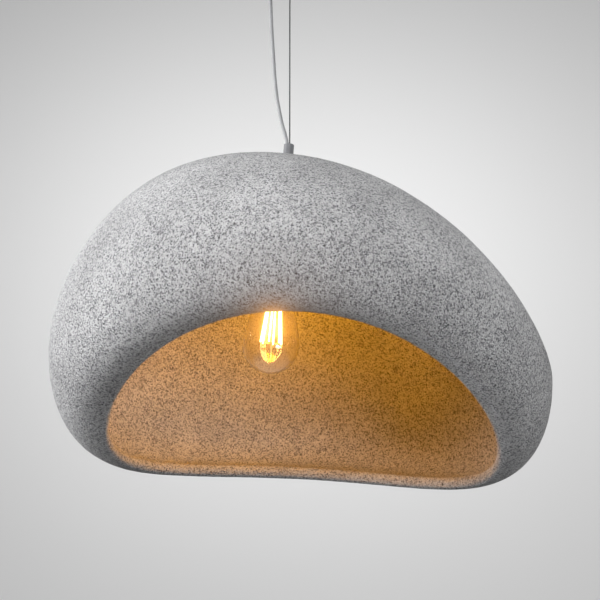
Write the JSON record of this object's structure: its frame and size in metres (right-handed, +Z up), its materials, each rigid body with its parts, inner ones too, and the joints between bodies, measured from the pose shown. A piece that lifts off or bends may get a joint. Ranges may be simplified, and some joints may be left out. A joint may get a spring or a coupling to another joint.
{
  "type": "pendant ceiling light",
  "caption": "Large pebble-shaped pendant light with a rough stone-like coat, an open cowl front over a clear filament bulb, a steel wire and a round flex.",
  "frame": {"origin": "centre of the ceiling plate's top face, where it meets the ceiling", "axes": "+Z up towards the ceiling with the steel wire running down the Z axis; the shade's open front faces -Y; +X is to the right seen from the front"},
  "size_m": [0.556, 0.5, 0.6162],
  "materials": {
    "stone_coat": "matte",
    "canopy_paint": "matte",
    "zinc_plated_steel": "satin",
    "turned_steel": "satin",
    "steel_screws": "satin",
    "wire_rope_steel": "satin",
    "grey_nylon": "matte",
    "white_nylon": "satin",
    "grey_rubber": "matte",
    "brass_parts": "satin",
    "lead_insulation": "satin",
    "flex_sheath": "satin",
    "gland_plastic": "satin",
    "holder_plastic": "satin",
    "steatite": "satin",
    "solder": "satin",
    "black_glass": "gloss",
    "nickel_cap": "satin",
    "circuit_board": "satin",
    "bulb_glass": "gloss",
    "stem_glass": "gloss",
    "led_phosphor": "satin",
    "nickel_wire": "satin"
  },
  "bodies": {
    "ceiling": {"ceiling_plate": "zinc_plated_steel", "canopy_screws": "steel_screws", "hanger_body": "turned_steel", "hanger_screws": "steel_screws", "cord_clamp": "white_nylon", "cord_clamp_screws": "steel_screws", "terminal_block": "white_nylon", "terminal_lugs": "brass_parts", "terminal_fixings": "steel_screws", "terminal_screws": "brass_parts", "canopy_leads": "lead_insulation", "earth_screw": "brass_parts", "earth_washer": "brass_parts"},
    "canopy": {"canopy": "canopy_paint", "canopy_bushing": "grey_nylon", "cord_grommet": "grey_rubber"},
    "hanger_seat": {"hanger_seat": "white_nylon"},
    "pendant": {"wire_ball": "turned_steel", "suspension_wire": "wire_rope_steel", "power_cord": "flex_sheath", "gland_cap": "gland_plastic", "wire_anchor": "turned_steel", "wire_sleeve": "brass_parts", "gland_washer": "zinc_plated_steel", "threaded_tube": "turned_steel", "shade_shell": "stone_coat", "support_plate": "zinc_plated_steel", "plate_screws": "steel_screws", "lock_washer": "steel_screws", "plate_nut": "turned_steel", "holder_nut": "turned_steel", "holder_cap": "holder_plastic", "holder_cord_grip": "white_nylon", "holder_leads": "lead_insulation", "holder_terminals": "brass_parts", "holder_terminal_screws": "steel_screws", "holder_insert": "steatite", "holder_body": "holder_plastic", "holder_screw_shell": "brass_parts", "holder_contact": "brass_parts"},
    "bulb_foot": {"bulb_contact": "solder"},
    "bulb": {"bulb_insulator": "black_glass", "bulb_cap": "nickel_cap", "bulb_driver": "circuit_board", "bulb_glass": "bulb_glass", "bulb_stem": "stem_glass", "bulb_filaments": "led_phosphor", "filament_frame": "nickel_wire"}
  },
  "joints": [
    {"name": "canopy_drop", "type": "slide", "parent": "ceiling", "child": "canopy", "axis": [0, 0, 1], "range_m": [-0.05, 0], "deforming": ["suspension_wire", "power_cord"]},
    {"name": "swing_fore_aft", "type": "hinge", "parent": "ceiling", "child": "hanger_seat", "pos_m": [0, 0, -0.015], "axis": [1, 0, 0], "range_deg": [-8, 8], "deforming": ["power_cord"]},
    {"name": "swing_sideways", "type": "hinge", "parent": "hanger_seat", "child": "pendant", "pos_m": [0, 0, -0.015], "axis": [0, 1, 0], "range_deg": [-8, 8], "deforming": ["power_cord"]},
    {"name": "bulb_feed", "type": "slide", "parent": "pendant", "child": "bulb_foot", "axis": [-0.0872, 0, -0.9962], "range_m": [0, 0.021]},
    {"name": "bulb_turn", "type": "hinge", "parent": "bulb_foot", "child": "bulb", "pos_m": [-0.01176, 0, -0.34954], "axis": [-0.0872, 0, -0.9962], "range_deg": [0, 2084]}
  ],
  "couplings": [
    {"joint": "bulb_turn", "follows": "bulb_feed", "rad_per_m": 1730.9}
  ]
}
